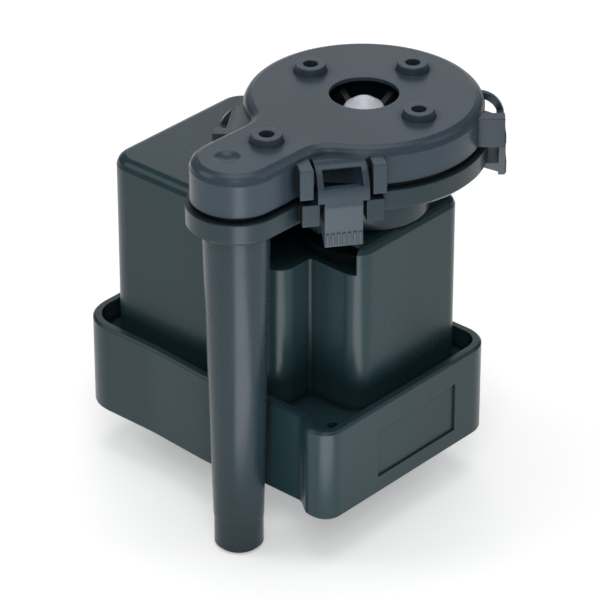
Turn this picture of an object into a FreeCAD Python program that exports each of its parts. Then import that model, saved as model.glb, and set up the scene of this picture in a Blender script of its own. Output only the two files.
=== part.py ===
import FreeCAD, Part
import os
from math import asin, cos, pi, radians, sin, sqrt, tan

# Drain pump of a condenser dryer, standing upside down from its use: inlet and feet on top, motor below.
# Millimetres. The origin is where the pump's axis meets the underside of the base cap. +Z points along the
# axis to the suction inlet, +X to the pump end of the motor, and the discharge pipe is on the -Y side.

# Base cap: its walls are measured from the pump's axis
base_height = 25.5
base_nose = 24.1
base_tail = 64.2
base_back = 24.0
base_front = 38.3
base_swell = 1.3
swell_start = 38.0
swell_end = 19.0
swell_bend = 40.0
pipe_recess = 1.0
recess_slope = 1.6
recess_bend = 1.5
post_proud = 2.4
post_width = 7.2
post_slope = 4.5
post_corner = 5.0
post_bend = 3.5
base_corner = 8.0
tail_corner = 10.0
rim_wall = 2.3
base_floor = 2.2
base_edge = 0.6
panel_depth = 0.5
panel_front = 21.5
panel_length = 30.0
panel_bottom_z = 5.0
panel_top_z = 18.8

# Motor housing and the flange at its foot, which sits on a step inside the base cap's rim
housing_nose = 16.9
housing_back = 19.0
housing_front = 20.8
coil_end = 58.8
coil_front = 31.8
coil_start = 0.7
housing_wall = 2.0
housing_corner = 5.0
housing_edge = 1.8
housing_bend = 1.0
ledge_z = 20.0
housing_height = 47.0
coil_rise = 4.5
coil_corner = 7.0
foot_thickness = 2.2
foot_overlap = 2.0
foot_clearance = 0.2
deck_drop = 10.0
window_sill = 2.0
window_start = -14.0
window_depth = 3.5

# Head: cover, pump body and pipe, turned a little about the axis so that the pipe clears the base's post
head_turn = -1.5
cover_r = 29.8
head_rise = 19.4
cover_height = 10.2
cover_edge = 1.7
cover_plate = 2.0
cover_wall = 2.2
neck_parting_drop = 1.3
parting_gap = 0.8
neck_reach = 45.6
neck_half = 11.2
neck_junction = 7.0
neck_step_y = -33.0
shadow_gap = 0.7
shadow_depth = 0.7
flange_proud = 1.1
flange_thickness = 5.8
flange_edge = 1.0
bowl_inset = 2.6
skirt_wall = 1.3
skirt_gap = 0.2
gasket_width = 0.8
gasket_offset = 0.6

# Inlet, feet and the dished gate mark on the neck
inlet_r = 8.7
inlet_lip = 1.0
inlet_relief = 3.0
foot_circle = 18.0
neck_foot_reach = 34.8
foot_r = 4.3
foot_top_r = 3.7
foot_height = 1.9
foot_hole_r = 1.9
foot_hole_depth = 3.0
mark_x = -1.2
mark_y = -47.2
mark_r = 3.3
mark_depth = 0.9

# Clip hooks: one in each corner beside the neck and two shorter ones on the round wall. Cheeks on the cover
# and guides on the flange stand beside some of them.
corner_facing = -35.5
corner_offset = 3.1
corner_stand = 1.6
corner_grip = 1.2
corner_tail = 5.7
corner_window = 3.8
right_facing = 43.0
back_facing = 132.0
round_tail = 3.4
round_window = 4.9
hook_width = 12.7
hook_arm_width = 9.4
hook_arm = 1.7
hook_stand = 5.2
hook_root = 9.1
hook_shoulder_r = 6.8
hook_shoulder_drop = 9.0
hook_wide_gap = 0.4
hook_window_rise = 2.0
hook_window_width = 9.6
hook_catch = 2.2
catch_nose = 1.0
catch_tip = 0.8
hook_catch_gap = 0.15
hook_ribs = 7
rib_proud = 0.3
rib_inset = 0.3
rib_length = 3.3
cheek_spread = 8.95
cheek_width = 3.3
cheek_inset = 0.65
guide_spread = 7.9
guide_width = 4.3
bowl_gap = 0.3

# Pump body: bowl, rotor tube, bayonet and discharge pipe
bowl_neck_r = 17.0
bowl_neck_rise = 5.0
bowl_wall = 3.0
spigot_r = 14.2
spigot_gap = 0.3
bayonet_lugs = 3
bayonet_arc = 26.0
bayonet_reach = 1.4
bayonet_height = 2.0
bayonet_entry = 75.0
bayonet_locked = 15.0
bayonet_slack = 6.0
spigot_height = 5.0
spigot_slope = 1.0
tube_edge = 1.0
rotor_tube_r = 12.6
rotor_tube_wall = 1.4
rotor_tube_floor = 1.6
rotor_tube_z = 21.8
seal_width = 2.0
collar_wall = 1.0
collar_root = 0.5
collar_height = 2.2
pipe_top_r = 8.5
pipe_tip_r = 6.25
pipe_tip_z = -13.5
nipple_length = 9.0
nipple_edge = 1.0
nipple_step = 0.15
pipe_bore_r = 4.2
pipe_bore_wide_r = 5.0
pipe_bore_straight = 14.0
channel_wall = 1.5

# Rotor, its bearings and the clutch
shaft_r = 1.5
running_gap = 0.05
magnet_r = 9.8
magnet_bore_r = 4.2
magnet_length = 24.4
overmould_skin = 0.6
overmould_end = 0.9
bush_r = 3.5
bush_length = 4.4
rubber_wall = 1.8
rubber_floor = 0.9
washer_r = 3.4
washer_thickness = 0.5
washer_room = 0.4
end_play = 0.1
carrier_r = 13.4
carrier_gap = 0.1
carrier_plate = 2.0
carrier_boss_wall = 1.4
drain_holes = 4
drain_hole_r = 1.1
clutch_r = 5.0
dog_r = 3.0
dog_arc = 46.0
damper_arc = 6.0
lug_arc = 46.0
clutch_gap = 0.15
clutch_start = 1.5
dog_height = 4.0
clutch_axial_gap = 0.4
dog_skin = 0.4
hub_bore_length = 2.6
ring_r = 2.6
ring_thickness = 0.8
ring_gap = 0.1
shaft_stub = 0.6
shaft_bottom_gap = 0.4
shaft_chamfer = 0.3

# Impeller
impeller_r = 22.0
impeller_disc = 1.4
impeller_floor_gap = 1.2
hub_r = 6.2
hub_foot_r = 7.0
hub_apex_drop = 0.2
cap_r = 6.0
cap_rise = 4.2
cap_bands = 3
cap_spigot_r = 4.2
cap_spigot_wall = 1.0
cap_hollow_rise = 0.9
vane_count = 5
vane_thickness = 1.6
vane_top_gap = 1.6
vane_bevel = 5.0
vane_tip_flat = 4.0
vane_eye_drop = 3.0
vane_eye_gap = 1.5
vane_turn = 18.0

# Stator, coils, terminals and screws
stator_gap = 0.3
stack_height = 24.0
stack_top_gap = 1.0
pole_half_width = 16.6
pole_nose = 12.4
pole_slot = 4.0
pole_bevel = 4.0
pole_shoe = 8.0
pole_neck = 12.0
pole_back = 11.0
pole_root = 14.0
leg_inner = 4.6
leg_width = 7.6
yoke_end = 56.4
yoke_length = 7.6
tongue_width = 3.0
tongue_depth = 2.4
fit_gap = 0.05
bobbin_start = 17.6
bobbin_end = 47.4
bobbin_wall = 0.8
bobbin_flange = 1.0
bobbin_gap = 0.1
winding_build = 2.6
winding_corner = 2.0
wrap_thickness = 0.2
blade_width = 6.3
blade_thickness = 0.8
blade_bevel = 0.3
blade_spacing = 10.4
blade_x = -34.0
blade_y = -24.4
blade_tip_z = 2.6
blade_top_z = 33.0
socket_length = 22.0
socket_width = 10.4
socket_depth = 11.0
socket_wall = 1.4
carrier_block_height = 6.0
cutout_r = 2.2
cutout_length = 11.0
cutout_gap = 1.0
lead_stub = 4.0
lead_r = 0.6
screw_r = 1.5
screw_head_r = 2.9
screw_head = 2.0
screw_length = 15.0
screw_recess = 3.2
screw_gap = 0.05
slot_half = 0.4
slot_depth = 0.9
pillar_r = 3.3
pillar_bottom_z = 8.0
screw_inset = 8.8

# Heights that follow from the ones above
pump_top_z = ledge_z + housing_height
coil_top_z = pump_top_z + coil_rise
deck_z = pump_top_z - deck_drop
window_sill_z = deck_z + window_sill
bowl_neck_z = pump_top_z + bowl_neck_rise
parting_z = pump_top_z + head_rise
cover_top_z = parting_z + cover_height
flange_top_z = parting_z - parting_gap
flange_bottom_z = flange_top_z - flange_thickness
ceiling_z = cover_top_z - cover_plate
neck_parting_z = parting_z - neck_parting_drop
neck_flange_z = neck_parting_z - parting_gap
chamber_r = cover_r - cover_wall
flange_r = cover_r + flange_proud
tube_floor_z = rotor_tube_z + rotor_tube_floor
tube_bore_r = rotor_tube_r - rotor_tube_wall
tube_seal_r = rotor_tube_r + seal_width
rubber_r = bush_r + rubber_wall
hook_shoulder_z = cover_top_z - hook_shoulder_drop
hook_window_z = hook_shoulder_z + hook_window_rise
seat_z = ledge_z - foot_thickness
screw_places = [(x, y) for x in (screw_inset - base_tail, base_nose - screw_inset)
                for y in (screw_inset + pipe_recess - base_front, base_back - screw_inset)]
rear_bush_top_z = tube_floor_z + rubber_floor + bush_length
rotor_bottom_z = rear_bush_top_z + end_play + washer_thickness
rotor_top_z = rotor_bottom_z + magnet_length + 2 * overmould_end
front_bush_z = rotor_top_z + washer_thickness + end_play
carrier_z = bowl_neck_z + carrier_gap
chamber_floor_z = bowl_neck_z + bowl_wall
impeller_z = flange_bottom_z + impeller_floor_gap
disc_top_z = impeller_z + impeller_disc
lip_z = cover_top_z - inlet_lip
apex_z = lip_z - hub_apex_drop


# Cutting tools run past a face by the first, and edges are told apart to within the second.
# The third is the share of a softened edge that its two small steps take.
past = 1.0
touch = 0.01
edge_share = 0.4


def at(x, y, z=0.0):
    return FreeCAD.Vector(x, y, z)


def box(x0, x1, y0, y1, z0, z1):
    return Part.makeBox(x1 - x0, y1 - y0, z1 - z0, at(x0, y0, z0))


def rod(radius, z0, z1, x=0.0, y=0.0):
    return Part.makeCylinder(radius, z1 - z0, at(x, y, z0))


def ring(outer, inner, z0, z1, x=0.0, y=0.0):
    return rod(outer, z0, z1, x, y).cut(rod(inner, z0, z1, x, y))


def turned(profile):
    """A solid of revolution about the pump's axis from (radius, height) points."""
    points = [at(r, 0, z) for r, z in profile]
    wire = Part.makePolygon(points + points[:1])
    return Part.Face(wire).revolve(at(0, 0), at(0, 0, 1), 360)


def spun(shape, degrees):
    copy = shape.copy()
    copy.rotate(at(0, 0), at(0, 0, 1), degrees)
    return copy


def fused(shapes):
    return shapes[0].multiFuse(shapes[1:]).removeSplitter()


def outline(corners):
    """A closed wire through (x, y, radius) corners, each rounded by a tangent arc."""
    edges = []
    ends = []
    count = len(corners)
    for i in range(count):
        x, y, radius = corners[i]
        here = at(x, y)
        back = (at(*corners[i - 1][:2]) - here).normalize()
        ahead = (at(*corners[(i + 1) % count][:2]) - here).normalize()
        half = back.getAngle(ahead) / 2
        reach = radius / tan(half)
        middle = here + (back + ahead).normalize() * (radius / sin(half) - radius)
        ends.append((here + back * reach, middle, here + ahead * reach))
    for i in range(count):
        start, middle, stop = ends[i]
        edges.append(Part.Arc(start, middle, stop).toShape())
        following = ends[(i + 1) % count][0]
        edges.append(Part.LineSegment(stop, following).toShape())
    return Part.Wire(edges)


def shrunk(corners, distance):
    """The same corners moved inward by a distance; rounding shrinks outside and grows inside."""
    result = []
    count = len(corners)
    for i in range(count):
        here = at(*corners[i][:2])
        into = (here - at(*corners[i - 1][:2])).normalize()
        out = (at(*corners[(i + 1) % count][:2]) - here).normalize()
        left_in = at(-into.y, into.x)
        left_out = at(-out.y, out.x)
        bisector = left_in + left_out
        shift = bisector * (distance / (1 + left_in.dot(left_out)))
        convex = into.x * out.y - into.y * out.x > 0
        radius = corners[i][2] - distance if convex else corners[i][2] + distance
        place = here + shift
        result.append((place.x, place.y, max(radius, 0.3)))
    return result


def prism(corners, z0, z1):
    face = Part.Face(outline(corners))
    face.translate(at(0, 0, z0))
    return face.extrude(at(0, 0, z1 - z0))


def junction(disc_r, half):
    """Centre of the concave fillet that joins disc and neck, on the +X side."""
    across = half + neck_junction
    return at(across, -sqrt((disc_r + neck_junction) ** 2 - across ** 2))


def keyhole(disc_r, half, z0, z1):
    """The plan of cover and flange: a disc with a round-ended neck along -Y, joined by concave fillets."""
    end = -neck_reach
    centre = junction(disc_r, half)
    touch = centre * (disc_r / (disc_r + neck_junction))
    side = at(half, centre.y)
    middle = centre + ((touch - centre) + (side - centre)).normalize() * neck_junction

    def mirrored(point):
        return at(-point.x, point.y)

    edges = [
        Part.Arc(at(-half, end), at(0, end - half), at(half, end)).toShape(),
        Part.LineSegment(at(half, end), side).toShape(),
        Part.Arc(side, middle, touch).toShape(),
        Part.Arc(touch, at(0, disc_r), mirrored(touch)).toShape(),
        Part.Arc(mirrored(touch), mirrored(middle), mirrored(side)).toShape(),
        Part.LineSegment(mirrored(side), at(-half, end)).toShape(),
    ]
    face = Part.Face(Part.Wire(edges))
    face.translate(at(0, 0, z0))
    return face.extrude(at(0, 0, z1 - z0))


def edges_at(shape, height, outside=None):
    """Edges that lie wholly at one height, for rounding; outside may test an edge's centre."""
    found = []
    for edge in shape.Edges:
        bounds = edge.BoundBox
        level = abs(bounds.ZMin - height) < touch and abs(bounds.ZMax - height) < touch
        if level and (outside is None or outside(edge)):
            found.append(edge)
    return found


def softened(shape, height, size):
    """The top edge at one height, rounded in three flat steps."""
    shape = shape.makeChamfer(size, edges_at(shape, height))
    for z in (height, height - size):
        shape = shape.makeChamfer(size * edge_share, edges_at(shape, z))
    return shape


def tapered(r0, r1, z0, z1, x=0.0, y=0.0):
    """A round taper between two circles."""
    low = Part.Wire(Part.makeCircle(r0, at(x, y, z0)))
    high = Part.Wire(Part.makeCircle(r1, at(x, y, z1)))
    return Part.makeLoft([low, high], True, True)


def sector(inner, outer, middle, arc, z0, z1):
    """Part of a ring about the pump's axis, centred on one direction."""
    slice_ = Part.makeCylinder(outer, z1 - z0, at(0, 0, z0), at(0, 0, 1), arc)
    slice_ = slice_.cut(rod(inner, z0, z1))
    return spun(slice_, middle - arc / 2)


# Base cap
base_plan = [
    (-base_tail, -base_front, tail_corner),
    (-swell_start, -base_front, swell_bend),
    (-swell_end, -base_front - base_swell, swell_bend),
    (-neck_half, -base_front - base_swell, recess_bend),
    (recess_slope - neck_half, -base_front + pipe_recess, recess_bend),
    (base_nose - post_width - post_slope, -base_front + pipe_recess, post_bend),
    (base_nose - post_width, -base_front - post_proud, post_bend),
    (base_nose, -base_front - post_proud, post_corner),
    (base_nose, base_back, base_corner),
    (-base_tail, base_back, tail_corner),
]
hollow_plan = [
    (-base_tail, -base_front + pipe_recess, tail_corner),
    (base_nose, -base_front + pipe_recess, base_corner),
    (base_nose, base_back, base_corner),
    (-base_tail, base_back, tail_corner),
]
socket_x0 = blade_x - socket_length / 2
socket_x1 = blade_x + socket_length / 2
socket_y0 = blade_y - socket_width / 2
socket_y1 = blade_y + socket_width / 2


def blade_slots(gap):
    """The two places where blades pass, with a gap all round."""
    slots = []
    for side in (-1, 1):
        middle = blade_x + side * blade_spacing / 2
        slots.append(box(middle - blade_thickness / 2 - gap, middle + blade_thickness / 2 + gap,
                         blade_y - blade_width / 2 - gap, blade_y + blade_width / 2 + gap,
                         blade_tip_z, blade_top_z))
    return slots


def base_cap():
    shell = prism(base_plan, 0, base_height)
    shell = shell.makeChamfer(base_edge, edges_at(shell, base_height) + edges_at(shell, 0))
    shell = shell.cut(prism(shrunk(base_plan, rim_wall), seat_z, base_height))
    hollow = prism(shrunk(hollow_plan, rim_wall + foot_overlap), base_floor, seat_z)
    hollow = hollow.cut(box(socket_x0 - socket_wall, socket_x1 + socket_wall, socket_y0 - socket_wall,
                            socket_y1 + socket_wall, 0, socket_depth + socket_wall))
    for x, y in screw_places:
        hollow = hollow.cut(rod(pillar_r, 0, pillar_bottom_z, x, y))
    shell = shell.cut(hollow)
    shell = shell.cut(box(socket_x0, socket_x1, socket_y0, socket_y1, 0, socket_depth))
    for x, y in screw_places:
        shell = shell.cut(rod(screw_head_r + foot_clearance, 0, screw_recess, x, y))
        shell = shell.cut(rod(screw_r + screw_gap, 0, pillar_bottom_z, x, y))
    for slot in blade_slots(bobbin_gap):
        shell = shell.cut(slot)
    panel = box(base_nose - panel_depth, base_nose + 1, -panel_front, panel_length - panel_front,
                panel_bottom_z, panel_top_z)
    return shell.cut(panel)


# Motor housing
housing_plan = [
    (-coil_end, -coil_front, coil_corner),
    (coil_start, -coil_front, housing_corner),
    (coil_start, -housing_front, housing_bend),
    (housing_nose, -housing_front, housing_corner),
    (housing_nose, housing_back, housing_corner),
    (-coil_end, housing_back, coil_corner),
]


def motor_housing():
    low_block = prism(housing_plan, ledge_z, pump_top_z)
    low_block = softened(low_block, pump_top_z, housing_edge)
    tail_plan = [
        (-coil_end, -coil_front, coil_corner),
        (window_start, -coil_front, housing_corner),
        (window_start, housing_back, housing_corner),
        (-coil_end, housing_back, coil_corner),
    ]
    high_block = prism(tail_plan, ledge_z, coil_top_z)
    high_block = softened(high_block, coil_top_z, housing_edge)
    foot = prism(shrunk(base_plan, rim_wall + foot_clearance), seat_z, ledge_z)
    body = fused([low_block, high_block, foot])
    inner_plan = shrunk(housing_plan, housing_wall)
    wall_x = window_start - housing_wall
    coil_room = prism(inner_plan, seat_z, coil_top_z - housing_wall)
    coil_room = coil_room.common(box(-coil_end, wall_x, -coil_front, housing_back, seat_z, coil_top_z))
    pole_room = prism(inner_plan, seat_z, deck_z - housing_wall)
    pole_room = pole_room.common(box(wall_x - past, housing_nose, -coil_front, housing_back, seat_z, deck_z))
    upper_room = prism(inner_plan, deck_z, pump_top_z - housing_wall)
    upper_room = upper_room.common(box(window_start, housing_nose, -coil_front, housing_back,
                                       deck_z, pump_top_z))
    body = body.cut(coil_room).cut(pole_room).cut(upper_room)
    window = box(window_start, housing_nose - housing_wall, -coil_front - past, window_depth - housing_front,
                 window_sill_z, coil_top_z)
    collar_r = spigot_r + bayonet_reach + spigot_gap + collar_wall
    body = body.cut(window.cut(rod(collar_r, window_sill_z, coil_top_z)))
    opening = rod(spigot_r + spigot_gap, deck_z + past, coil_top_z)
    for i in range(bayonet_lugs):
        turn = bayonet_entry + i * 360 / bayonet_lugs
        opening = opening.fuse(sector(rotor_tube_r, spigot_r + bayonet_reach + spigot_gap, turn,
                                      bayonet_arc + bayonet_slack, deck_z + past, coil_top_z))
    lug_top = pump_top_z - housing_wall
    lug_room = rod(spigot_r + bayonet_reach + spigot_gap, lug_top - bayonet_height - spigot_gap, lug_top)
    bowl_room = rod(bowl_neck_r + skirt_gap, pump_top_z, coil_top_z)
    body = body.cut(opening).cut(lug_room).cut(bowl_room)
    collar = ring(tube_seal_r + collar_wall, rotor_tube_r, deck_z - collar_root, deck_z + collar_height)
    body = body.fuse(collar)
    body = body.cut(rod(tube_seal_r, deck_z, coil_top_z))
    body = body.cut(rod(rotor_tube_r + skirt_gap, ledge_z, coil_top_z))
    for x, y in screw_places:
        pillar = rod(pillar_r, pillar_bottom_z, seat_z, x, y)
        body = body.fuse(pillar).cut(rod(screw_r + screw_gap, pillar_bottom_z, ledge_z, x, y))
    return body.removeSplitter()


def tube_seal():
    middle = (rotor_tube_r + tube_seal_r) / 2
    thickness = (tube_seal_r - rotor_tube_r) / 2 - fit_gap
    low = deck_z + fit_gap
    return ring(middle + thickness, middle - thickness, low, low + 2 * thickness)


# Where the hooks are. A hook's shape is how far out its outer face and its catch's nose are, how far its arm
# hangs below the flange and how high its window is. A hook's site is the direction it faces, how far its
# middle lies to the left of the line through the axis that way, the sides with cheeks, and its shape.
out = at(cos(radians(corner_facing)), sin(radians(corner_facing)))
left = at(-out.y, out.x)
corner = junction(cover_r, neck_half)
flange_corner = junction(flange_r, neck_half + flange_proud)
corner_reach = corner.dot(out) + corner_stand
corner_catch_r = flange_corner.dot(out) - neck_junction - corner_grip
corner_shape = (corner_reach, corner_catch_r, corner_tail, corner_window)
round_shape = (cover_r + hook_stand, flange_r - hook_catch, round_tail, round_window)
corner_shift = corner.dot(left) + corner_offset
corner_sites = [
    (corner_facing, corner_shift, (-1, 1), corner_shape),
    (180 - corner_facing, -corner_shift, (1,), corner_shape),
]
round_sites = [
    (right_facing, 0, (-1,), round_shape),
    (back_facing, 0, (), round_shape),
]


def beside_hook(site, spread, width, z0, z1):
    """Upright blocks at the sides of a hook, from inside the wall out to one common face."""
    facing, shift, sides, shape = site
    reach = shape[0]
    blocks = []
    for side in sides:
        middle = shift + side * spread
        block = box(reach - hook_root, reach - cheek_inset, middle - width / 2, middle + width / 2, z0, z1)
        blocks.append(spun(block, facing))
    return blocks


# Pump body with its discharge pipe
def pipe_solid():
    lowest = pipe_tip_z + nipple_length
    straight = rod(pipe_tip_r, pipe_tip_z, lowest, 0, -neck_reach)
    straight = straight.makeChamfer(nipple_edge, edges_at(straight, pipe_tip_z))
    top = neck_flange_z - flange_thickness / 2
    return straight.fuse(tapered(pipe_tip_r + nipple_step, pipe_top_r, lowest, top, 0, -neck_reach))


def pipe_bore():
    straight_top = pipe_tip_z + pipe_bore_straight
    lead_in = pipe_bore_wide_r - pipe_bore_r
    narrow = rod(pipe_bore_r, pipe_tip_z, straight_top, 0, -neck_reach)
    funnel = tapered(pipe_bore_r, pipe_bore_wide_r, straight_top, straight_top + lead_in, 0, -neck_reach)
    wide = rod(pipe_bore_wide_r, straight_top + lead_in, neck_flange_z - channel_wall, 0, -neck_reach)
    return fused([narrow, funnel, wide])


def pump_body():
    disc = keyhole(flange_r, neck_half + flange_proud, flange_bottom_z, flange_top_z)
    neck = keyhole(flange_r, neck_half + flange_proud, neck_flange_z - flange_thickness, neck_flange_z)
    far = -neck_reach - 2 * neck_half
    disc = disc.makeChamfer(flange_edge, edges_at(disc, flange_bottom_z))
    neck = neck.makeChamfer(flange_edge, edges_at(neck, neck_flange_z - flange_thickness))
    disc = disc.cut(box(-flange_r, flange_r, far, neck_step_y, flange_bottom_z, flange_top_z))
    neck_side = box(-flange_r, flange_r, far, neck_step_y, neck_flange_z - flange_thickness, flange_top_z)
    neck = neck.common(neck_side)
    bowl = turned([
        (0, rotor_tube_z), (rotor_tube_r - tube_edge, rotor_tube_z), (rotor_tube_r, rotor_tube_z + tube_edge),
        (rotor_tube_r, deck_z + spigot_height), (spigot_r, deck_z + spigot_height + spigot_slope),
        (spigot_r, pump_top_z + fit_gap), (bowl_neck_r, pump_top_z + fit_gap), (bowl_neck_r, bowl_neck_z),
        (flange_r - bowl_inset, flange_bottom_z), (0, flange_bottom_z),
    ])
    wall_half = neck_half - skirt_wall - skirt_gap
    sealing_wall = keyhole(chamber_r + past, wall_half, neck_flange_z - past, flange_top_z).common(neck_side)
    cover_room = keyhole(cover_r + skirt_gap, neck_half + skirt_gap, neck_flange_z, flange_top_z)
    guides = []
    for site in corner_sites:
        for guide in beside_hook(site, guide_spread, guide_width, flange_bottom_z, flange_top_z):
            guides.append(guide.cut(cover_room))
    body = fused([disc, neck, bowl, sealing_wall, pipe_solid()] + guides)
    for i in range(bayonet_lugs):
        lug_top = pump_top_z - housing_wall - fit_gap
        turn = bayonet_locked + i * 360 / bayonet_lugs
        body = body.fuse(sector(spigot_r - past, spigot_r + bayonet_reach, turn, bayonet_arc,
                                lug_top - bayonet_height, lug_top))
    slope = (flange_bottom_z - bowl_neck_z) / (flange_r - bowl_neck_r)
    rise = chamber_floor_z + slope * (chamber_r - bowl_neck_r)
    room = turned([
        (0, tube_floor_z), (tube_bore_r, tube_floor_z), (tube_bore_r, bowl_neck_z),
        (carrier_r + carrier_gap, bowl_neck_z), (carrier_r + carrier_gap, chamber_floor_z),
        (bowl_neck_r, chamber_floor_z), (chamber_r, rise), (chamber_r, flange_top_z + past),
        (0, flange_top_z + past),
    ])
    cup_socket = ring(rubber_r + carrier_boss_wall, rubber_r, tube_floor_z, rear_bush_top_z)
    channel = keyhole(chamber_r - past, wall_half - channel_wall, neck_flange_z - channel_wall,
                      flange_top_z + past)
    body = body.cut(room).cut(channel).cut(pipe_bore()).fuse(cup_socket)
    return spun(body.removeSplitter(), head_turn)


# Volute cover
def shoulder(reach):
    """The side view of a hook's upper part: a quarter round out of the wall, then straight down."""
    inner = reach - hook_arm
    centre_r = reach - hook_shoulder_r
    top = hook_shoulder_z + hook_shoulder_r
    bottom = flange_top_z + hook_wide_gap
    slant = hook_shoulder_r * sin(pi / 4)
    inner_slant = (hook_shoulder_r - hook_arm) * sin(pi / 4)
    return Part.Face(Part.Wire([
        Part.Arc(at(reach, 0, hook_shoulder_z), at(centre_r + slant, 0, hook_shoulder_z + slant),
                 at(centre_r, 0, top)).toShape(),
        Part.LineSegment(at(centre_r, 0, top), at(reach - hook_root, 0, top)).toShape(),
        Part.LineSegment(at(reach - hook_root, 0, top), at(reach - hook_root, 0, top - hook_arm)).toShape(),
        Part.LineSegment(at(reach - hook_root, 0, top - hook_arm), at(centre_r, 0, top - hook_arm)).toShape(),
        Part.Arc(at(centre_r, 0, top - hook_arm),
                 at(centre_r + inner_slant, 0, hook_shoulder_z + inner_slant),
                 at(inner, 0, hook_shoulder_z)).toShape(),
        Part.LineSegment(at(inner, 0, hook_shoulder_z), at(inner, 0, bottom)).toShape(),
        Part.LineSegment(at(inner, 0, bottom), at(reach, 0, bottom)).toShape(),
        Part.LineSegment(at(reach, 0, bottom), at(reach, 0, hook_shoulder_z)).toShape(),
    ]))


def hook(site):
    """One clip hook: its shoulder with a window, an arm that hangs outside the flange, and its catch."""
    facing, shift, _, (reach, catch_r, tail, window) = site
    inner = reach - hook_arm
    middle = inner + hook_arm / 2
    tip_z = flange_bottom_z - tail
    solid = shoulder(reach).extrude(at(0, hook_width, 0))
    solid.translate(at(0, shift - hook_width / 2, 0))
    solid = solid.cut(box(reach - hook_shoulder_r, reach + past, shift - hook_window_width / 2,
                          shift + hook_window_width / 2, hook_window_z, hook_window_z + window))
    arm_y = shift - hook_arm_width / 2
    arm = box(inner, reach, arm_y, arm_y + hook_arm_width, tip_z, flange_top_z + hook_wide_gap + past)
    catch_z = flange_bottom_z - hook_catch_gap
    tip = tip_z + catch_tip
    catch = Part.Face(Part.makePolygon([
        at(middle, arm_y, catch_z), at(catch_r, arm_y, catch_z), at(catch_r, arm_y, catch_z - catch_nose),
        at(inner, arm_y, tip), at(middle, arm_y, tip), at(middle, arm_y, catch_z),
    ])).extrude(at(0, hook_arm_width, 0))
    solid = fused([solid, arm, catch])
    pitch = hook_arm_width / hook_ribs
    for i in range(hook_ribs):
        rib_y = arm_y + pitch * (i + 0.5)
        solid = solid.fuse(box(middle, reach + rib_proud, rib_y - pitch / 4, rib_y + pitch / 4,
                               tip_z + rib_inset, tip_z + rib_inset + rib_length))
    bowl_room = turned([
        (0, bowl_neck_z), (bowl_neck_r + bowl_gap, bowl_neck_z),
        (flange_r - bowl_inset + bowl_gap, flange_bottom_z), (0, flange_bottom_z),
    ])
    return spun(solid, facing).cut(bowl_room)


def foot(x, y):
    return tapered(foot_r, foot_top_r, cover_top_z, cover_top_z + foot_height, x, y)


foot_places = [(foot_circle, 0), (0, foot_circle), (-foot_circle, 0), (0, -neck_foot_reach)]


def shadow_cut(z0, z1):
    """A shallow step round the cover's lower edge, which shows as a dark line above the flange."""
    outer = keyhole(cover_r + past, neck_half + past, z0, z1)
    return outer.cut(keyhole(cover_r - shadow_depth, neck_half - shadow_depth, z0, z1))


def volute_cover():
    shell = keyhole(cover_r, neck_half, neck_parting_z, cover_top_z)
    shell = softened(shell, cover_top_z, cover_edge)
    wide = cover_r + 2 * past
    far = -neck_reach - 2 * neck_half
    round_side = box(-wide, wide, neck_step_y, wide, neck_parting_z - past, parting_z + shadow_gap)
    neck_side = box(-wide, wide, far, neck_step_y, neck_parting_z - past, parting_z)
    shell = shell.cut(round_side.common(box(-wide, wide, far, wide, neck_parting_z - past, parting_z)))
    shell = shell.cut(shadow_cut(parting_z - past, parting_z + shadow_gap).common(round_side))
    shell = shell.cut(shadow_cut(neck_parting_z - past, neck_parting_z + shadow_gap).common(neck_side))
    for site in corner_sites + round_sites:
        cheeks = beside_hook(site, cheek_spread, cheek_width, parting_z + shadow_gap,
                             cover_top_z - cover_edge)
        shell = fused([shell, hook(site)] + cheeks)
    wall_half = neck_half - skirt_wall - skirt_gap - channel_wall
    shell = shell.cut(rod(chamber_r, neck_parting_z - past, ceiling_z))
    shell = shell.cut(keyhole(chamber_r - past, wall_half, parting_z, ceiling_z))
    shell = shell.cut(keyhole(cover_r, neck_half - skirt_wall, neck_parting_z, parting_z).common(neck_side))
    shell = shell.fuse([foot(x, y) for x, y in foot_places])
    for x, y in foot_places:
        top = cover_top_z + foot_height
        shell = shell.cut(rod(foot_hole_r, top - foot_hole_depth, top, x, y))
    shell = shell.cut(tapered(inlet_r + inlet_relief, inlet_r, ceiling_z, lip_z))
    shell = shell.cut(rod(inlet_r, ceiling_z - past, cover_top_z + past))
    ball_r = (mark_r ** 2 + mark_depth ** 2) / (2 * mark_depth)
    shell = shell.cut(Part.makeSphere(ball_r, at(mark_x, mark_y, cover_top_z - mark_depth + ball_r)))
    return spun(shell.removeSplitter(), head_turn)


def cover_gasket():
    """The flat ring that seals cover to body: round the chamber and round the channel in the neck."""
    middle_r = chamber_r + gasket_offset
    wall_half = neck_half - skirt_wall - skirt_gap - channel_wall / 2
    outer = keyhole(middle_r + gasket_width / 2, wall_half + gasket_width / 2, flange_top_z, parting_z)
    inner = keyhole(middle_r - gasket_width / 2, wall_half - gasket_width / 2, flange_top_z, parting_z)
    return spun(outer.cut(inner), head_turn)


# Rotor
def rotor_shaft():
    bottom = tube_floor_z + rubber_floor + shaft_bottom_gap
    shaft = rod(shaft_r, bottom, shaft_top_z)
    ends = edges_at(shaft, bottom) + edges_at(shaft, shaft_top_z)
    return shaft.makeChamfer(shaft_chamfer, ends)


def rotor_magnet():
    low = rotor_bottom_z + overmould_end
    return ring(magnet_r, magnet_bore_r, low, low + magnet_length)


def rotor_overmould():
    low = rotor_bottom_z + overmould_end
    skin = rod(magnet_r + overmould_skin, rotor_bottom_z, rotor_top_z)
    skin = skin.cut(ring(magnet_r, magnet_bore_r, low, low + magnet_length))
    return skin.cut(rod(shaft_r, rotor_bottom_z, rotor_top_z))


def thrust_washers():
    washers = []
    for z in (rotor_bottom_z - washer_thickness, rotor_top_z):
        washers.append(ring(washer_r, shaft_r, z, z + washer_thickness))
    return Part.makeCompound(washers)


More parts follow.
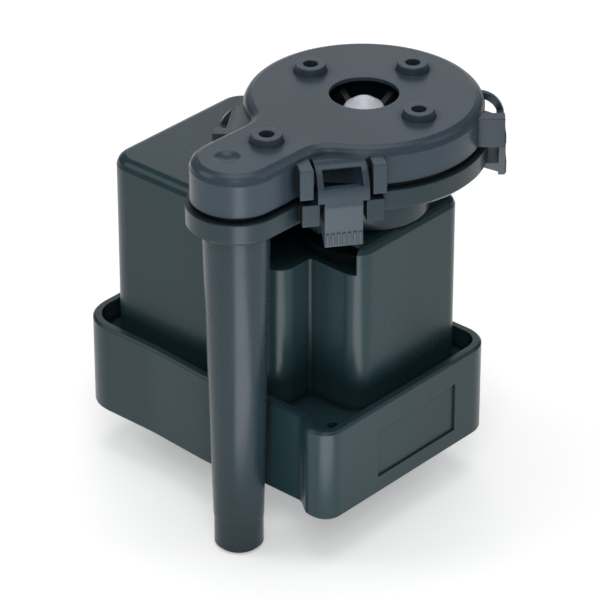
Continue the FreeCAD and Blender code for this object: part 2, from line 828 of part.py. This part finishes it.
def bush(z0):
    body = ring(bush_r, shaft_r + running_gap, z0, z0 + bush_length)
    return body


def rear_bearing():
    return bush(tube_floor_z + rubber_floor)


def rear_bearing_cup():
    cup = rod(rubber_r, tube_floor_z, rear_bush_top_z)
    return cup.cut(rod(bush_r, tube_floor_z + rubber_floor, rear_bush_top_z))


def front_bearing():
    return bush(front_bush_z)


def front_bearing_mount():
    return ring(rubber_r, bush_r, front_bush_z, front_bush_z + bush_length)


def bearing_carrier():
    low = front_bush_z
    boss_r = rubber_r + carrier_boss_wall
    plate = rod(carrier_r, carrier_z, carrier_z + carrier_plate)
    boss = rod(boss_r, low, carrier_z + carrier_plate)
    body = plate.fuse(boss)
    body = body.cut(rod(rubber_r, low, low + bush_length))
    body = body.cut(rod(washer_r + washer_room, low, carrier_z + carrier_plate))
    middle = (carrier_r + boss_r) / 2
    for i in range(drain_holes):
        turn = 2 * pi * i / drain_holes
        body = body.cut(rod(drain_hole_r, carrier_z, carrier_z + carrier_plate,
                            middle * cos(turn), middle * sin(turn)))
    return body.removeSplitter()


# Clutch and impeller
dog_z = impeller_z + clutch_axial_gap
clutch_roof_z = dog_z + dog_height + clutch_axial_gap
ring_z = clutch_roof_z + hub_bore_length
hub_top_z = apex_z - cap_rise
shaft_top_z = ring_z + ring_gap + ring_thickness + shaft_stub
dog_reach = clutch_r - clutch_gap - dog_skin


def drive_dog():
    hub = rod(dog_r, dog_z, dog_z + dog_height)
    lug = sector(shaft_r, dog_reach, 0, dog_arc, dog_z, dog_z + dog_height)
    return fused([hub, lug]).cut(rod(shaft_r, dog_z, dog_z + dog_height))


def clutch_damper():
    pads = []
    for side in (-1, 1):
        middle = side * (dog_arc + damper_arc) / 2
        pads.append(sector(dog_r, dog_reach, middle, damper_arc, dog_z, dog_z + dog_height))
    back = sector(dog_reach, clutch_r - clutch_gap, 0, dog_arc + 2 * damper_arc,
                  dog_z, dog_z + dog_height)
    return fused(pads + [back])


def vane(angle):
    """One straight radial vane, bevelled at its tip and lowered under the inlet."""
    top = ceiling_z - vane_top_gap
    root = hub_r - 2.0
    plate = Part.Face(Part.makePolygon([
        at(root, 0, impeller_z), at(impeller_r, 0, impeller_z), at(impeller_r, 0, top - vane_bevel),
        at(impeller_r - vane_tip_flat, 0, top), at(inlet_r + vane_eye_gap, 0, top),
        at(root, 0, top - vane_eye_drop), at(root, 0, impeller_z)])).extrude(at(0, vane_thickness, 0))
    plate.translate(at(0, -vane_thickness / 2, 0))
    return spun(plate, angle)


def impeller():
    hub = Part.makeCone(hub_foot_r, hub_r, hub_top_z - impeller_z, at(0, 0, impeller_z))
    disc = rod(impeller_r, impeller_z, disc_top_z)
    vanes = [vane(vane_turn + 360 / vane_count * i) for i in range(vane_count)]
    body = fused([disc, hub] + vanes)
    body = body.cut(rod(cap_r, hub_top_z, ceiling_z))
    body = body.cut(rod(clutch_r, impeller_z, clutch_roof_z))
    lug_middle = (dog_arc / 2 + damper_arc) + clutch_start + lug_arc / 2
    lug = sector(dog_r + clutch_gap, hub_r, -lug_middle, lug_arc, impeller_z, clutch_roof_z)
    body = body.fuse(lug)
    body = body.cut(rod(shaft_r + running_gap, impeller_z, hub_top_z))
    body = body.cut(rod(cap_spigot_r, ring_z, hub_top_z))
    return body.removeSplitter()


def hub_cap():
    """The white dome over the shaft's end, held by a short tube in the hub."""
    sphere_r = (cap_r ** 2 + cap_rise ** 2) / (2 * cap_rise)
    low = asin(cap_r / sphere_r)
    turns = [low * (1 - i / cap_bands) for i in range(cap_bands)]
    dome = turned([(0, hub_top_z)] + [(sphere_r * sin(t), apex_z - sphere_r + sphere_r * cos(t)) for t in turns]
                  + [(sphere_r * sin(low / cap_bands / 2), apex_z)] + [(0, apex_z)])
    spigot = rod(cap_spigot_r, ring_z, hub_top_z)
    hollow = rod(cap_spigot_r - cap_spigot_wall, ring_z, hub_top_z + cap_hollow_rise)
    return dome.fuse(spigot).removeSplitter().cut(hollow)


def retaining_ring():
    return ring(ring_r, shaft_r, ring_z + ring_gap, ring_z + ring_gap + ring_thickness)


# Stator
stack_z1 = deck_z - housing_wall - stack_top_gap
stack_z0 = stack_z1 - stack_height
leg_outer = leg_inner + leg_width
yoke_start = yoke_end - yoke_length
bore_r = rotor_tube_r + stator_gap


def pole_arm(side):
    plan = [
        (-yoke_start, leg_inner), (-pole_neck, leg_inner), (-pole_shoe, pole_slot / 2),
        (pole_nose, pole_slot / 2),
        (pole_nose, pole_half_width - pole_bevel), (pole_nose - pole_bevel, pole_half_width),
        (-pole_back, pole_half_width), (-pole_root, leg_outer), (-yoke_start, leg_outer),
    ]
    face = Part.Face(Part.makePolygon([at(x, side * y, stack_z0) for x, y in plan + plan[:1]]))
    arm = face.extrude(at(0, 0, stack_height))
    tongue_y = side * (leg_inner + leg_width / 2)
    tongue = box(-yoke_start - tongue_depth, -yoke_start,
                 tongue_y - tongue_width / 2, tongue_y + tongue_width / 2,
                 stack_z0, stack_z1)
    return arm.cut(rod(bore_r, stack_z0, stack_z1)).fuse(tongue).removeSplitter()


def pole_arms():
    return Part.makeCompound([pole_arm(-1), pole_arm(1)])


def stator_yoke():
    body = box(-yoke_end, -yoke_start, -leg_outer, leg_outer, stack_z0, stack_z1)
    for side in (-1, 1):
        middle = side * (leg_inner + leg_width / 2)
        body = body.cut(box(-yoke_start - tongue_depth - fit_gap, -yoke_start,
                            middle - tongue_width / 2 - fit_gap,
                            middle + tongue_width / 2 + fit_gap, stack_z0, stack_z1))
    return body


def around_leg(side, gap, x0, x1):
    """A box round one leg of the core, with the same gap on all four sides."""
    middle = side * (leg_inner + leg_width / 2)
    half = leg_width / 2 + gap
    return box(x0, x1, middle - half, middle + half, stack_z0 - gap, stack_z1 + gap)


def bobbin(side):
    wall = bobbin_gap + bobbin_wall
    edge = wall + winding_build + wrap_thickness
    body = around_leg(side, wall, -bobbin_end, -bobbin_start)
    for x0 in (-bobbin_end, -bobbin_start - bobbin_flange):
        body = body.fuse(around_leg(side, edge, x0, x0 + bobbin_flange))
    return body.cut(around_leg(side, bobbin_gap, -bobbin_end, -bobbin_start)).removeSplitter()


def winding(side):
    wall = bobbin_gap + bobbin_wall
    x0 = -bobbin_end + bobbin_flange
    x1 = -bobbin_start - bobbin_flange
    body = around_leg(side, wall + winding_build, x0, x1).cut(around_leg(side, wall, x0, x1))
    corners = [edge for edge in long_edges(body, x1 - x0) if outer_corner(edge, side, wall)]
    return body.makeFillet(winding_corner, corners)


def long_edges(body, length):
    return [edge for edge in body.Edges if edge.BoundBox.XLength > length - touch]


def outer_corner(edge, side, wall):
    """True for the long edges on the outside of a winding."""
    half = leg_width / 2 + wall + winding_build
    middle = side * (leg_inner + leg_width / 2)
    return abs(abs(edge.CenterOfMass.y - middle) - half) < touch


def winding_wrap(side):
    wall = bobbin_gap + bobbin_wall + winding_build
    x0 = -bobbin_end + bobbin_flange
    x1 = -bobbin_start - bobbin_flange
    body = around_leg(side, wall + wrap_thickness, x0, x1)
    body = body.makeFillet(winding_corner + wrap_thickness, long_edges(body, x1 - x0))
    core = around_leg(side, wall, x0, x1)
    return body.cut(core.makeFillet(winding_corner, long_edges(core, x1 - x0)))


# Wiring bay beside the coils
def terminal_block():
    low = socket_depth + socket_wall
    top = low + carrier_block_height
    wall = socket_wall
    reach = (blade_spacing + blade_width) / 2
    block = box(blade_x - reach, blade_x + reach, blade_y - blade_width / 2 - wall,
                blade_y + blade_width / 2 + wall, low, top)
    for slot in blade_slots(0):
        block = block.cut(slot)
    return block


def terminal_blades():
    blades = []
    for slot in blade_slots(0):
        tips = [e for e in edges_at(slot, blade_tip_z) if e.Length > blade_thickness * 2]
        blades.append(slot.makeChamfer(blade_thickness * blade_bevel, tips))
    return Part.makeCompound(blades)


def thermal_cutout():
    x0 = blade_x + blade_spacing / 2 + blade_thickness
    z = blade_top_z - lead_r * 2
    body = Part.makeCylinder(cutout_r, cutout_length, at(x0 + cutout_gap, blade_y, z), at(1, 0, 0))
    lead = Part.makeCylinder(lead_r, cutout_length + lead_stub, at(x0 - blade_thickness / 2, blade_y, z),
                             at(1, 0, 0))
    return body.fuse(lead).removeSplitter()


def coil_link():
    z = stack_z1 + bobbin_gap + bobbin_wall + winding_build + wrap_thickness + lead_r
    reach = leg_inner + leg_width / 2
    x = -bobbin_end + bobbin_flange / 2
    return Part.makeCylinder(lead_r, 2 * reach, at(x, -reach, z), at(0, 1, 0))


def base_screws():
    screws = []
    for x, y in screw_places:
        head_z = screw_recess - screw_head
        head = rod(screw_head_r, head_z, screw_recess, x, y)
        shank = rod(screw_r, screw_recess, head_z + screw_length, x, y)
        slot = box(x - screw_head_r, x + screw_head_r, y - slot_half, y + slot_half,
                   head_z, head_z + slot_depth)
        screws.append(head.fuse(shank).cut(slot).removeSplitter())
    return Part.makeCompound(screws)


os.makedirs("parts", exist_ok=True)
pieces = {
    "base_cap": base_cap(),
    "base_screws": base_screws(),
    "motor_housing": motor_housing(),
    "tube_seal": tube_seal(),
    "pump_body": pump_body(),
    "cover_gasket": cover_gasket(),
    "volute_cover": volute_cover(),
    "impeller": impeller(),
    "hub_cap": hub_cap(),
    "retaining_ring": retaining_ring(),
    "drive_dog": drive_dog(),
    "clutch_damper": clutch_damper(),
    "rotor_shaft": rotor_shaft(),
    "rotor_magnet": rotor_magnet(),
    "rotor_overmould": rotor_overmould(),
    "thrust_washers": thrust_washers(),
    "front_bearing": front_bearing(),
    "front_bearing_mount": front_bearing_mount(),
    "bearing_carrier": bearing_carrier(),
    "rear_bearing": rear_bearing(),
    "rear_bearing_cup": rear_bearing_cup(),
    "pole_arms": pole_arms(),
    "stator_yoke": stator_yoke(),
    "bobbin_front": bobbin(-1),
    "bobbin_back": bobbin(1),
    "winding_front": winding(-1),
    "winding_back": winding(1),
    "winding_wrap_front": winding_wrap(-1),
    "winding_wrap_back": winding_wrap(1),
    "coil_link": coil_link(),
    "terminal_block": terminal_block(),
    "terminal_blades": terminal_blades(),
    "thermal_cutout": thermal_cutout(),
}
for name, shape in pieces.items():
    shape.exportStep("parts/" + name + ".step")
    print(name, len(shape.Solids), round(shape.Volume, 1), shape.isValid())
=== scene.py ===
import math

import bpy
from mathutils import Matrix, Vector


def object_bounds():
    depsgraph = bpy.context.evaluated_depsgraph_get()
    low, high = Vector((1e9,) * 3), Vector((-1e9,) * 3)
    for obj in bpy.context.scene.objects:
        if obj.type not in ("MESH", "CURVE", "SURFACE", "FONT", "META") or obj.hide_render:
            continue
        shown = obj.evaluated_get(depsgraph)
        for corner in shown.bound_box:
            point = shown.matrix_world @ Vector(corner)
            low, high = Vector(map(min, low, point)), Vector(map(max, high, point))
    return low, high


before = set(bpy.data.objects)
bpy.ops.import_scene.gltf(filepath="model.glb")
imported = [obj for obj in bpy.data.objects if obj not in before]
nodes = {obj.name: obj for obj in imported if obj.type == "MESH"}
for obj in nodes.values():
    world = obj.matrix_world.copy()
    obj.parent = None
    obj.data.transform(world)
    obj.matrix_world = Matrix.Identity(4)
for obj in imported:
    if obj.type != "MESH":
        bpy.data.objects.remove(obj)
cad_box = [list(corner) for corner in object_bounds()]


# Base cap: the moulded box at the foot of the motor, with a rim round the housing's foot and a shallow panel
# in its pump end. Dark glass-filled plastic with a fine matt grain, moulded in one piece.
class Wire:
    """One socket of a shader, so that its maths can be written as an expression."""

    def __init__(self, finish, socket):
        self.finish = finish
        self.socket = socket

    def maths(self, operation, *values):
        return self.finish.add("ShaderNodeMath", {"operation": operation}, dict(enumerate(values)))

    def __add__(self, other):
        return self.maths("ADD", self, other)

    def __radd__(self, other):
        return self.maths("ADD", other, self)

    def __sub__(self, other):
        return self.maths("SUBTRACT", self, other)

    def __rsub__(self, other):
        return self.maths("SUBTRACT", other, self)

    def __mul__(self, other):
        return self.maths("MULTIPLY", self, other)

    def __rmul__(self, other):
        return self.maths("MULTIPLY", other, self)


class Finish:
    """A material: its nodes are added by one method, and its shader's sockets are set by name."""

    def __init__(self, name, colour, roughness, **settings):
        self.material = bpy.data.materials.new(name)
        self.material.use_nodes = True
        self.material.diffuse_color = (*colour, 1.0)
        self.tree = self.material.node_tree
        self.shader = self.tree.nodes["Principled BSDF"]
        self.surface = {}
        self.set("Base Color", (*colour, 1.0))
        self.set("Roughness", roughness)
        for socket, value in settings.items():
            self.set(socket.replace("_", " "), value)

    def put(self, socket, value):
        """Links a wire to a socket, or sets the socket to a plain value."""
        if isinstance(value, Wire):
            self.tree.links.new(value.socket, socket)
        else:
            socket.default_value = value

    def set(self, socket, value):
        """Gives the shader a wire or value, and keeps it under the socket's name for a later layer."""
        self.surface[socket] = value
        self.put(self.shader.inputs[socket], value)

    def add(self, kind, settings, inputs, output=0):
        """Adds one node of any kind and returns one of its outputs."""
        node = self.tree.nodes.new(kind)
        for key, value in settings.items():
            setattr(node, key, value)
        for key, value in inputs.items():
            self.put(node.inputs[key], value)
        return Wire(self, node.outputs[output])

    def place(self):
        """Where each point lies when the pump is at rest, in metres."""
        return self.add("ShaderNodeTexCoord", {}, {}, "Object")

    def along(self, axis):
        """How far each point lies along one axis."""
        return self.add("ShaderNodeSeparateXYZ", {}, {"Vector": self.place()}, axis)

    def noise(self, scale, detail, stretch=(1.0, 1.0, 1.0)):
        stretched = self.add("ShaderNodeVectorMath", {"operation": "MULTIPLY"}, {0: self.place(), 1: stretch})
        return self.add("ShaderNodeTexNoise", {}, {"Vector": stretched, "Scale": scale, "Detail": detail})

    def stripes(self, axis, pitch):
        """A wave from -1 to 1 along one axis, with one crest for every pitch."""
        distance = self.along(axis)
        return distance.maths("SINE", distance * (2 * math.pi / pitch))

    def between(self, value, low, high, start=0.0, end=1.0):
        """Turns the range from low to high into the range from start to end."""
        return self.add("ShaderNodeMapRange", {}, {
            "Value": value, "From Min": low, "From Max": high, "To Min": start, "To Max": end})

    def mix(self, mask, first, second):
        """Blends two colours, each a wire or its red, green and blue."""
        # The colour sockets of a Mix node share their names with others, so they go by number.
        first_colour, second_colour, mixed_colour = 6, 7, 2
        inputs = {"Factor": mask, first_colour: first, second_colour: second}
        for socket in (first_colour, second_colour):
            if not isinstance(inputs[socket], Wire):
                inputs[socket] = (*inputs[socket], 1.0)
        return self.add("ShaderNodeMix", {"data_type": "RGBA"}, inputs, mixed_colour)

    def soft_normal(self, width):
        """The normal of a surface whose edges are rounded by this width."""
        return self.add("ShaderNodeBevel", {"samples": 6}, {"Radius": width})

    def edges(self, width):
        """1 along edges and 0 on the flat: how far a softened normal leaves the real one."""
        plain = self.add("ShaderNodeNewGeometry", {}, {}, "Normal")
        turned = {0: self.soft_normal(width), 1: plain}
        same = self.add("ShaderNodeVectorMath", {"operation": "DOT_PRODUCT"}, turned, "Value")
        return self.between(same, 1.0, 0.7)

    def hollows(self, width):
        """1 in inner corners and narrow gaps, 0 where the surface is open."""
        open_sky = self.add("ShaderNodeAmbientOcclusion", {"samples": 8}, {"Distance": width}, "AO")
        return self.between(open_sky, 0.95, 0.45)

    def bump(self, height, distance, strength, normal=None):
        inputs = {"Height": height, "Distance": distance, "Strength": strength}
        if normal is not None:
            inputs["Normal"] = normal
        self.set("Normal", self.add("ShaderNodeBump", {}, inputs))


def toned(colour, share):
    """The same colour, darker or lighter by a share."""
    return tuple(share * part for part in colour)


def plastic(name, colour, worn, roughness, grain):
    """Moulded plastic: an eroded grain, faint flow marks, slightly rubbed edges, and painted shade that
    darkens the hollows and roughens them.
    """
    edge_width = 0.0004
    hollow_shade_width = 0.0025
    finish = Finish(name, colour, roughness, Specular_IOR_Level=0.26)
    flow = finish.noise(scale=24.0, detail=3.0, stretch=(1.0, 1.0, 0.35))
    fine = finish.noise(scale=2400.0, detail=2.0)
    patch = finish.noise(scale=75.0, detail=4.0)
    body = finish.mix(finish.between(flow, 0.35, 0.65), toned(colour, 0.88), toned(colour, 1.12))
    body = finish.mix(finish.between(fine, 0.60, 0.80, end=0.30), body, worn)
    rubbed = finish.edges(edge_width) * finish.between(patch, 0.40, 0.65, start=0.1, end=0.45)
    body = finish.mix(rubbed, body, worn)
    # Painted shade: where ambient occlusion finds inner corners and narrow gaps, the colour darkens to 15 %
    # of the plastic's own, and the roughness rises there too.
    hollow_shade = finish.hollows(hollow_shade_width)
    finish.set("Base Color", finish.mix(hollow_shade * 0.9, body, toned(colour, 0.15)))
    finish.set("Roughness", roughness + (patch - 0.5) * 0.14 + (fine - 0.5) * 0.10 + hollow_shade * 0.35)
    finish.bump(fine, distance=grain, strength=0.6, normal=finish.soft_normal(edge_width))
    return finish


def dress(finish, *names):
    """Gives CAD nodes their finish."""
    for name in names:
        for slot in nodes[name].material_slots:
            slot.material = finish.material


motor_colour = (0.0160, 0.0400, 0.0475)
motor_worn = (0.065, 0.088, 0.098)
dress(plastic("base_plastic", motor_colour, motor_worn, roughness=0.30, grain=0.000012), "base_cap")


# Motor housing: the stepped block over coils and poles, with the terminal socket's walls and a foot flange
# that stands inside the base's rim. Same plastic as the base, from a tool with a finer grain.
dress(plastic("housing_plastic", motor_colour, motor_worn, roughness=0.29, grain=0.00001), "motor_housing")


# Base screws: four thread-forming screws up through the base into the housing's pillars. Zinc-plated steel
# with a faint yellow bloom and brushed faces.
def steel(name, colour, bloom, roughness, brushed=(1.0, 1.0, 8.0)):
    edge_width = 0.0002
    finish = Finish(name, colour, roughness, Metallic=1.0)
    lines = finish.noise(scale=420.0, detail=3.0, stretch=brushed)
    patch = finish.noise(scale=110.0, detail=4.0)
    finish.set("Base Color", finish.mix(finish.between(patch, 0.45, 0.70), colour, bloom))
    finish.set("Roughness", roughness + (lines - 0.5) * 0.2)
    finish.bump(lines, distance=0.00001, strength=0.4, normal=finish.soft_normal(edge_width))
    return finish


dress(steel("zinc_plate", (0.55, 0.56, 0.55), (0.50, 0.47, 0.36), roughness=0.32), "base_screws")


# Stator: two packs of stamped sheets with shoes round the rotor tube, closed by a yoke behind the coils.
# The steel is grey and a little rusty, and the sheets show as fine dark lines on the sides.
def laminated(name, colour, rust, sheet):
    seam = (0.02, 0.02, 0.02)
    finish = Finish(name, colour, 0.45, Metallic=0.9)
    patch = finish.noise(scale=130.0, detail=4.0)
    gap = finish.stripes("Z", sheet)
    body = finish.mix(finish.between(patch, 0.45, 0.70), colour, rust)
    finish.set("Base Color", finish.mix(finish.between(gap, -1.0, -0.6, start=0.6, end=0.0), body, seam))
    finish.set("Roughness", 0.38 + patch * 0.2)
    finish.bump(gap, distance=0.00005, strength=0.6)
    return finish


dress(laminated("core_sheets", (0.30, 0.31, 0.33), (0.20, 0.14, 0.10), sheet=0.0005),
      "pole_arms", "stator_yoke")


# Bobbins and terminal block: natural nylon that lets a little light through, off-white with a warm tone.
# The bobbins slide over the legs of the core; the block is held in the housing's socket.
def pale_plastic(name, colour, shade, roughness):
    edge_width = 0.0003
    finish = Finish(name, colour, roughness, Subsurface_Weight=0.15, Subsurface_Scale=0.002)
    patch = finish.noise(scale=60.0, detail=4.0)
    fine = finish.noise(scale=1500.0, detail=2.0)
    body = finish.mix(finish.between(patch, 0.35, 0.70), colour, shade)
    finish.set("Base Color", finish.mix(finish.edges(edge_width) * 0.3, body, toned(colour, 1.2)))
    finish.set("Roughness", roughness + (patch - 0.5) * 0.16)
    finish.bump(fine, distance=0.000008, strength=0.5, normal=finish.soft_normal(edge_width))
    return finish


dress(pale_plastic("nylon", (0.56, 0.54, 0.47), (0.48, 0.45, 0.36), roughness=0.42),
      "bobbin_front", "bobbin_back", "terminal_block")


# Windings: enamelled copper wire in close turns round each leg, with the varnish's gloss, and the link wire
# between the two coils.
def wound(name, colour, shade, pitch):
    shadow = (0.06, 0.02, 0.01)
    finish = Finish(name, colour, 0.30, Metallic=0.85, Coat_Weight=0.6, Coat_Roughness=0.15)
    turns = finish.stripes("X", pitch)
    patch = finish.noise(scale=160.0, detail=3.0)
    body = finish.mix(finish.between(patch, 0.40, 0.70), colour, shade)
    finish.set("Base Color", finish.mix(finish.between(turns, -1.0, -0.2, start=0.7, end=0.0), body, shadow))
    finish.bump(turns, distance=0.00006, strength=0.8)
    return finish


dress(wound("copper_wire", (0.62, 0.26, 0.12), (0.45, 0.16, 0.06), pitch=0.00035),
      "winding_front", "winding_back", "coil_link")


# Tape round each winding: thin yellow film, glossy, with the edge of each turn showing as a line. It keeps
# the wire in place and apart from the core.
def film(name, colour, shade, turn):
    finish = Finish(name, colour, 0.25, Coat_Weight=0.5, Coat_Roughness=0.1)
    lap = finish.stripes("X", turn)
    patch = finish.noise(scale=90.0, detail=3.0)
    body = finish.mix(finish.between(lap, 0.80, 1.0, end=0.6), colour, shade)
    finish.set("Base Color", finish.mix(finish.between(patch, 0.45, 0.75, end=0.5), body, shade))
    finish.set("Roughness", 0.2 + patch * 0.2)
    finish.bump(lap, distance=0.00003, strength=0.5)
    return finish


dress(film("yellow_film", (0.62, 0.47, 0.08), (0.42, 0.28, 0.04), turn=0.006),
      "winding_wrap_front", "winding_wrap_back")


# Terminals and thermal cut-out: two tinned brass blades that take push-on connectors, and the small sealed
# switch on the winding with its wire end.
dress(steel("tinned_brass", (0.64, 0.61, 0.54), (0.60, 0.49, 0.28), roughness=0.28, brushed=(1.0, 6.0, 1.0)),
      "terminal_blades")
dress(pale_plastic("cutout_case", (0.20, 0.21, 0.20), (0.15, 0.16, 0.15), roughness=0.50),
      "thermal_cutout")


# Pump body: bowl, flange, rotor tube and discharge pipe in one moulding, with a satin skin. Dark plastic that
# is filled with glass, drawn off long cores along the pipe and the tube.
body_colour = (0.0195, 0.0375, 0.0475)
dress(plastic("body_plastic", body_colour, motor_worn, roughness=0.27, grain=0.000008), "pump_body")


# Volute cover: the lid with its inlet and spacer feet, held on the body's flange by four clip hooks that are
# moulded on. The same kind of plastic from another batch, a little greyer; below the cover's edge the clips'
# arms are painted lighter, a painted highlight.
cover_colour = (0.0350, 0.0540, 0.0735)
cover_worn = (0.070, 0.085, 0.098)
cover_finish = plastic("cover_plastic", cover_colour, cover_worn, roughness=0.28, grain=0.000008)
arm_highlight_colour = (0.078, 0.098, 0.118)
arm_top = 0.0850
arm_fade = 0.0008
# Painted highlight: below the arms' top height the cover's colour turns 90 % of the way to a pale grey-blue.
arm_highlight_mask = cover_finish.between(cover_finish.along("Z"), arm_top, arm_top - arm_fade, end=0.9)
cover_finish.set("Base Color", cover_finish.mix(arm_highlight_mask, cover_finish.surface["Base Color"], arm_highlight_colour))
dress(cover_finish, "volute_cover")


# Gasket, seals and dampers: soft black rubber with a little pale dust, pressed between the moulded parts and
# round the bearings.
def rubber(name, colour):
    dusty = (0.05, 0.05, 0.05)
    finish = Finish(name, colour, 0.75)
    fine = finish.noise(scale=900.0, detail=3.0)
    dust = finish.noise(scale=120.0, detail=4.0)
    finish.set("Base Color", finish.mix(finish.between(dust, 0.50, 0.80, end=0.5), colour, dusty))
    finish.set("Roughness", 0.68 + fine * 0.15)
    finish.bump(fine, distance=0.00003, strength=0.5)
    return finish


dress(rubber("black_rubber", (0.008, 0.008, 0.009)),
      "cover_gasket", "tube_seal", "clutch_damper", "front_bearing_mount", "rear_bearing_cup")


# Bearings: bushes of sintered carbon in rubber mounts, held by a grey carrier that closes the rotor tube,
# and two white washers that take the rotor's thrust.
dress(plastic("carbon", (0.030, 0.030, 0.032), (0.10, 0.10, 0.10), roughness=0.30, grain=0.000006),
      "front_bearing", "rear_bearing")
dress(plastic("carrier_plastic", (0.10, 0.11, 0.12), (0.20, 0.21, 0.22), roughness=0.42, grain=0.00001),
      "bearing_carrier")
dress(pale_plastic("washer_plastic", (0.78, 0.77, 0.74), (0.70, 0.68, 0.62), roughness=0.35),
      "thrust_washers")


# Rotor: a ground steel shaft that runs in both bushes, a ring magnet of sintered ferrite and the plastic that
# is moulded round it and holds it on the shaft.
dress(steel("ground_steel", (0.60, 0.60, 0.59), (0.55, 0.54, 0.52), roughness=0.18, brushed=(1.0, 1.0, 20.0)),
      "rotor_shaft")
dress(plastic("ferrite", (0.055, 0.055, 0.060), (0.14, 0.14, 0.14), roughness=0.50, grain=0.00004),
      "rotor_magnet")
dress(plastic("rotor_plastic", (0.040, 0.065, 0.120), (0.12, 0.16, 0.24), roughness=0.38, grain=0.00001),
      "rotor_overmould")


# Clutch: a natural plastic dog on the shaft drives the impeller after about 250 degrees of play, and a
# stamped spring-steel ring keeps the impeller on the shaft.
dress(pale_plastic("acetal", (0.66, 0.65, 0.60), (0.55, 0.53, 0.46), roughness=0.35), "drive_dog")
dress(steel("spring_steel", (0.42, 0.42, 0.43), (0.30, 0.28, 0.28), roughness=0.35), "retaining_ring")


# Impeller and its cap: black moulded vanes on a disc, and the white dome on its hub that shows in the suction
# inlet.
dress(plastic("impeller_plastic", (0.018, 0.022, 0.024), (0.06, 0.07, 0.07), roughness=0.38, grain=0.00001),
      "impeller")
dress(pale_plastic("white_plastic", (0.59, 0.61, 0.67), (0.51, 0.53, 0.59), roughness=0.30), "hub_cap")


# Camera: far off with a long lens, above the pump's discharge corner, and turned to a point near the
# middle of the pump.
camera_place = Vector((0.5390, -0.6317, 0.5185))
camera_target = Vector((-0.0035, -0.0198, 0.0450))
camera_data = bpy.data.cameras.new("camera")
camera_data.lens = 226.8
camera_data.sensor_width = 36.0
camera_data.clip_start = 0.05
camera_data.clip_end = 20.0
camera = bpy.data.objects.new("camera", camera_data)
camera.location = camera_place
camera.rotation_mode = "QUATERNION"
camera.rotation_quaternion = (camera_target - camera_place).to_track_quat("-Z", "Y")
bpy.context.scene.collection.objects.link(camera)
bpy.context.scene.camera = camera


# Studio: a plain pale floor at the pipe's tip, a dim even sky and soft lamps. The strip lies on the floor in
# front, shines upwards and draws the light along upright edges.
white = (1.0, 1.0, 1.0)
floor_z = cad_box[0][2]
floor_half = 3.0
floor_corners = [(x * floor_half, y * floor_half, floor_z) for x, y in ((-1, -1), (1, -1), (1, 1), (-1, 1))]
floor_mesh = bpy.data.meshes.new("floor")
floor_mesh.from_pydata(floor_corners, [], [(0, 1, 2, 3)])
floor = bpy.data.objects.new("floor", floor_mesh)
bpy.context.scene.collection.objects.link(floor)
floor_paper = Finish("floor_paper", toned(white, 0.92), 0.9, Emission_Color=(*white, 1.0))
floor_paper.set("Emission Strength", 0.35)
floor_mesh.materials.append(floor_paper.material)

world = bpy.data.worlds.new("studio")
bpy.context.scene.world = world
world.use_nodes = True
sky = world.node_tree.nodes["Background"].inputs
sky["Color"].default_value = (*white, 1.0)
sky["Strength"].default_value = 0.1
bpy.context.scene.view_settings.view_transform = "Standard"

# Each lamp's bearing in degrees, how far out and how high it is, its tilt from straight down in degrees, its
# width and length, all in metres, and its power in watts.
lamps = {
    "overhead": (0.0, 0.0, 1.3, 0.0, 1.0, 1.0, 7.6),
    "front": (-49.5, 0.98, 0.90, 47.0, 0.6, 0.6, 4.4),
    "left": (-139.5, 0.98, 0.90, 47.0, 0.6, 0.6, 2.5),
    "right": (40.5, 0.98, 0.90, 47.0, 0.6, 0.6, 1.4),
    "back": (130.5, 1.20, 0.55, 65.0, 1.0, 1.0, 2.8),
    "strip": (-49.5, 0.19, floor_z + 0.001, 180.0, 0.08, 0.22, 0.23),
}
for name, (bearing, away, height, tilt, width, length, power) in lamps.items():
    lamp_data = bpy.data.lights.new(name, "AREA")
    lamp_data.shape = "RECTANGLE"
    lamp_data.size = width
    lamp_data.size_y = length
    lamp_data.energy = power
    lamp = bpy.data.objects.new(name, lamp_data)
    turn = math.radians(bearing)
    lamp.location = (away * math.cos(turn), away * math.sin(turn), height)
    lamp.rotation_euler = (math.radians(tilt), 0.0, turn + math.pi / 2)
    bpy.context.scene.collection.objects.link(lamp)
